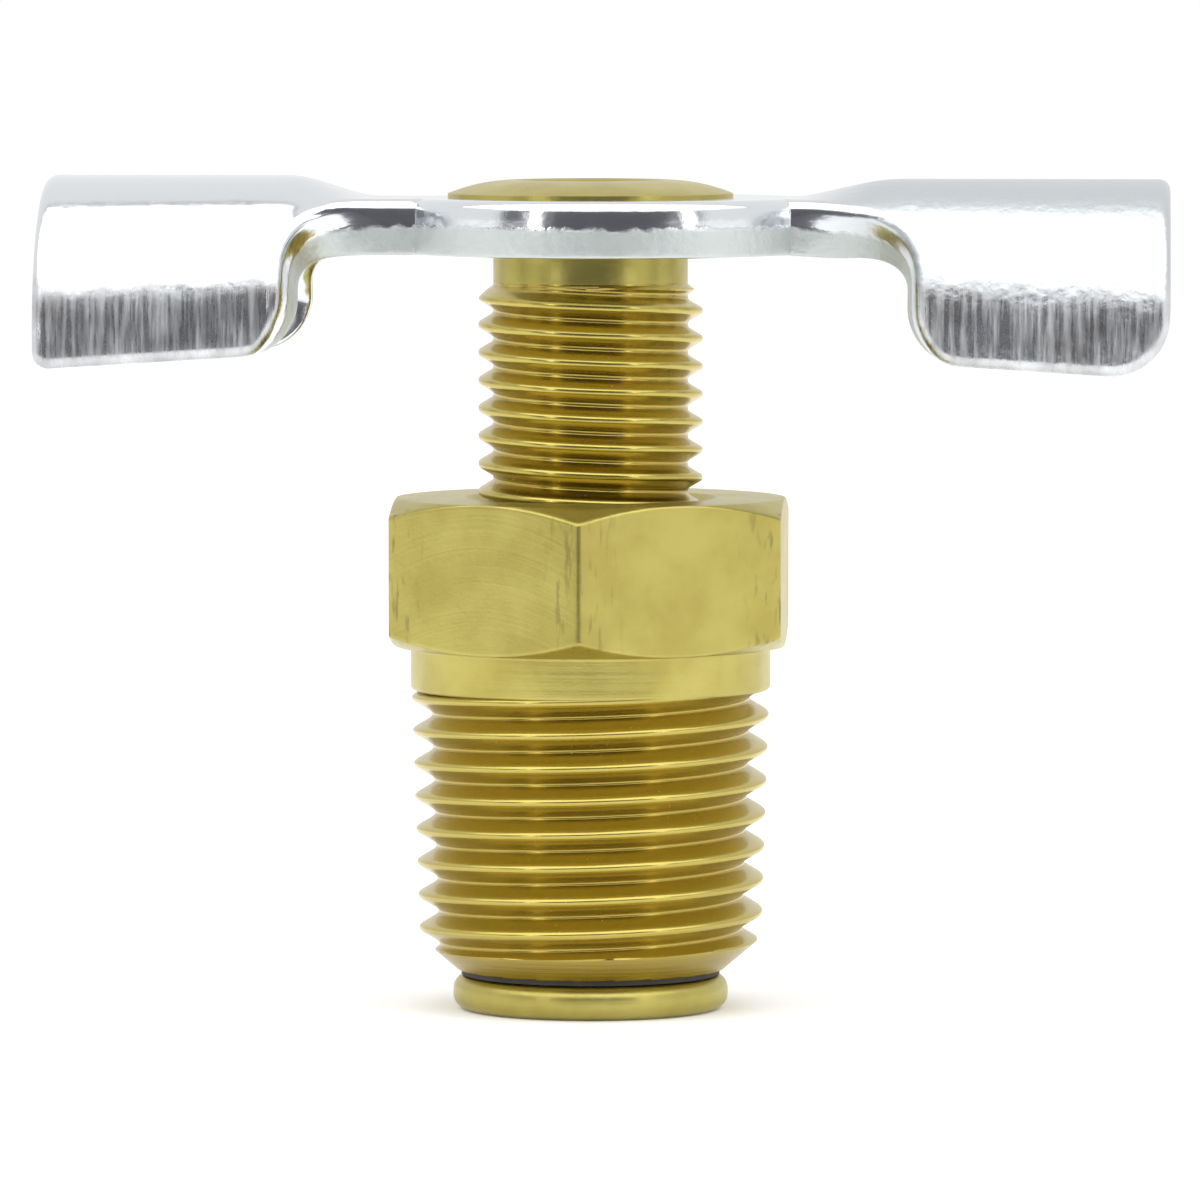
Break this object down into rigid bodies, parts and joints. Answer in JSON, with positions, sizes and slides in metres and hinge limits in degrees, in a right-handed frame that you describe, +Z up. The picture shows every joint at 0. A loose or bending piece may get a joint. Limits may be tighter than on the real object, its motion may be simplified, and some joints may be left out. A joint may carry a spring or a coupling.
{
  "type": "radiator drain cock",
  "caption": "Small brass drain cock: tapered pipe thread, hexagon, left-hand stem whose round head closes the body's end from outside, and a stamped wing handle.",
  "frame": {"origin": "middle of the valve head's flat underside, on the stem's axis, which is the face that the part stands on", "axes": "+Z up the stem from the valve head to the handle, +X along the wing handle as it stands when closed, +Y across it"},
  "size_m": [0.0319, 0.0128, 0.0237],
  "materials": {
    "body_brass": "turned and lightly tumbled",
    "stem_brass": "turned",
    "washer_rubber": "matt",
    "zinc_steel": "bright zinc plate on stamped sheet"
  },
  "bodies": {
    "valve_body": {"body": "body_brass"},
    "travelling_seat": {"seat_washer": "washer_rubber"},
    "stem_and_handle": {"stem": "stem_brass", "wing_handle": "zinc_steel"}
  },
  "joints": [
    {"name": "stem_travel", "type": "slide", "parent": "valve_body", "child": "travelling_seat", "axis": [0, 0, -1], "range_m": [0, 0.00635]},
    {"name": "stem_turn", "type": "hinge", "parent": "travelling_seat", "child": "stem_and_handle", "pos_m": [0, 0, 0], "axis": [0, 0, 1], "range_deg": [0, 2880]}
  ],
  "couplings": [
    {"joint": "stem_travel", "follows": "stem_turn", "m_per_rad": 0.00012633}
  ]
}
